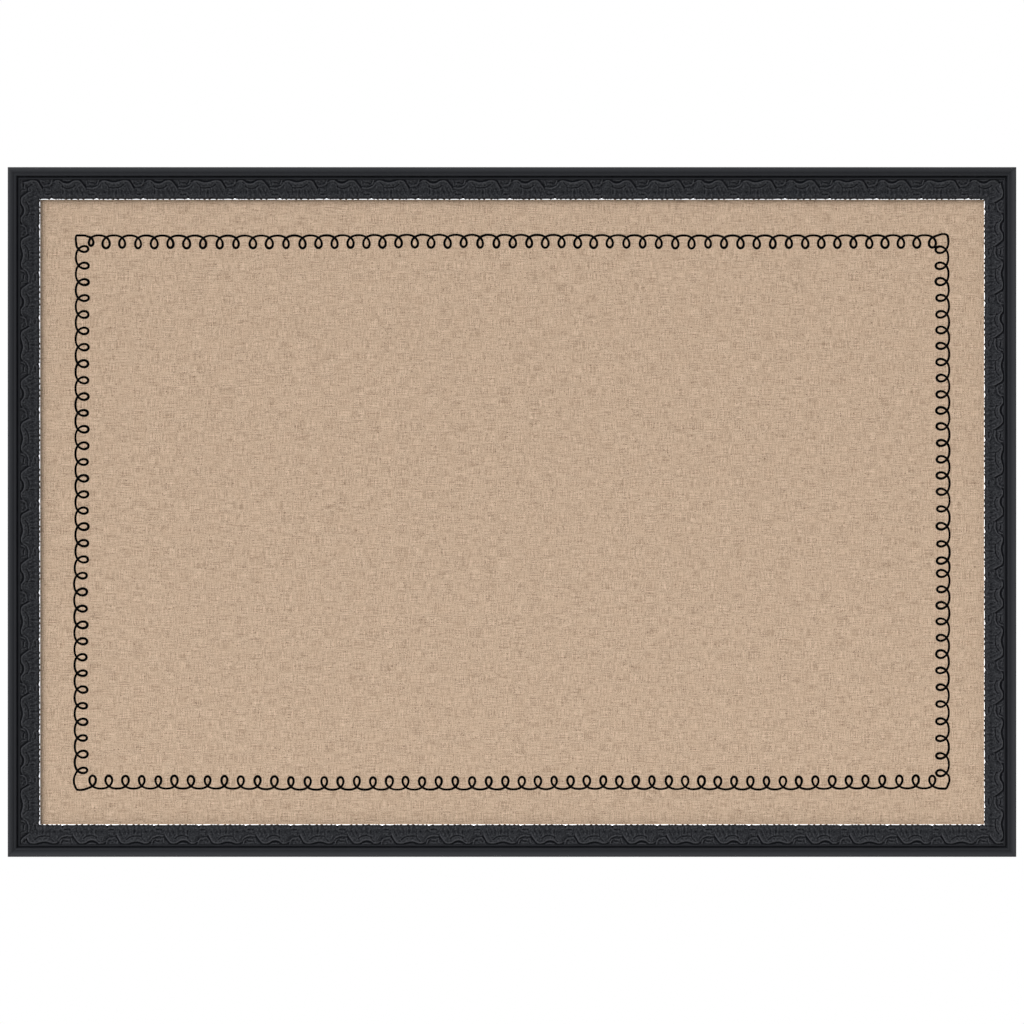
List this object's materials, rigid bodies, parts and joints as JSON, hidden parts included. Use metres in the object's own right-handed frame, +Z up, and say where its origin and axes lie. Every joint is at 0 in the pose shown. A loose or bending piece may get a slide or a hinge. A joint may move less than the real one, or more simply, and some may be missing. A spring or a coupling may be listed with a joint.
{
  "type": "framed pin board",
  "caption": "Landscape pin board: linen over cork in a mitred black frame with a pressed shell ornament, and D-rings that swing on the back.",
  "frame": {"origin": "on the wall's surface, behind the centre of the board's outer rectangle", "axes": "+X to the right along the long side as seen from the front, +Y into the wall, +Z up"},
  "size_m": [0.965, 0.0273, 0.66],
  "materials": {
    "black_lacquered_wood": "satin",
    "black_composition": "satin",
    "white_card": "matte",
    "natural_linen": "matte",
    "cork": "matte",
    "hardboard": "matte",
    "brown_paper": "matte",
    "plain_steel": "satin",
    "nickel_plated_steel": "satin",
    "black_rubber": "matte"
  },
  "bodies": {
    "board": {"top_rail": "black_lacquered_wood", "top_ornament": "black_composition", "top_slip": "white_card", "top_framing_point_1": "plain_steel", "top_framing_point_2": "plain_steel", "top_framing_point_3": "plain_steel", "top_framing_point_4": "plain_steel", "top_right_v_nail_1": "plain_steel", "top_right_v_nail_2": "plain_steel", "right_rail": "black_lacquered_wood", "right_ornament": "black_composition", "right_slip": "white_card", "right_framing_point_1": "plain_steel", "right_framing_point_2": "plain_steel", "right_framing_point_3": "plain_steel", "bottom_right_v_nail_1": "plain_steel", "bottom_right_v_nail_2": "plain_steel", "bottom_rail": "black_lacquered_wood", "bottom_ornament": "black_composition", "bottom_slip": "white_card", "bottom_framing_point_1": "plain_steel", "bottom_framing_point_2": "plain_steel", "bottom_framing_point_3": "plain_steel", "bottom_framing_point_4": "plain_steel", "bottom_left_v_nail_1": "plain_steel", "bottom_left_v_nail_2": "plain_steel", "left_rail": "black_lacquered_wood", "left_ornament": "black_composition", "left_slip": "white_card", "left_framing_point_1": "plain_steel", "left_framing_point_2": "plain_steel", "left_framing_point_3": "plain_steel", "top_left_v_nail_1": "plain_steel", "top_left_v_nail_2": "plain_steel", "linen_cover": "natural_linen", "cork_sheet": "cork", "hardboard_backing": "hardboard", "dust_cover": "brown_paper", "left_hanger_strap": "nickel_plated_steel", "left_hanger_screw": "nickel_plated_steel", "right_hanger_strap": "nickel_plated_steel", "right_hanger_screw": "nickel_plated_steel", "top_hanger_strap": "nickel_plated_steel", "top_hanger_screw": "nickel_plated_steel", "bottom_hanger_strap": "nickel_plated_steel", "bottom_hanger_screw": "nickel_plated_steel", "top_left_bumper": "black_rubber", "top_right_bumper": "black_rubber", "bottom_left_bumper": "black_rubber", "bottom_right_bumper": "black_rubber"},
    "left_ring": {"left_hanger_ring": "nickel_plated_steel"},
    "right_ring": {"right_hanger_ring": "nickel_plated_steel"},
    "top_ring": {"top_hanger_ring": "nickel_plated_steel"},
    "bottom_ring": {"bottom_hanger_ring": "nickel_plated_steel"}
  },
  "joints": [
    {"name": "left_ring_swing", "type": "hinge", "parent": "board", "child": "left_ring", "pos_m": [-0.4695, -0.00275, 0.18], "axis": [1, 0, 0], "range_deg": [0, 180]},
    {"name": "right_ring_swing", "type": "hinge", "parent": "board", "child": "right_ring", "pos_m": [0.4695, -0.00275, 0.18], "axis": [1, 0, 0], "range_deg": [0, 180]},
    {"name": "top_ring_swing", "type": "hinge", "parent": "board", "child": "top_ring", "pos_m": [-0.2825, -0.00275, 0.317], "axis": [0, 0, 1], "range_deg": [0, 180]},
    {"name": "bottom_ring_swing", "type": "hinge", "parent": "board", "child": "bottom_ring", "pos_m": [-0.2825, -0.00275, -0.317], "axis": [0, 0, 1], "range_deg": [0, 180]}
  ]
}
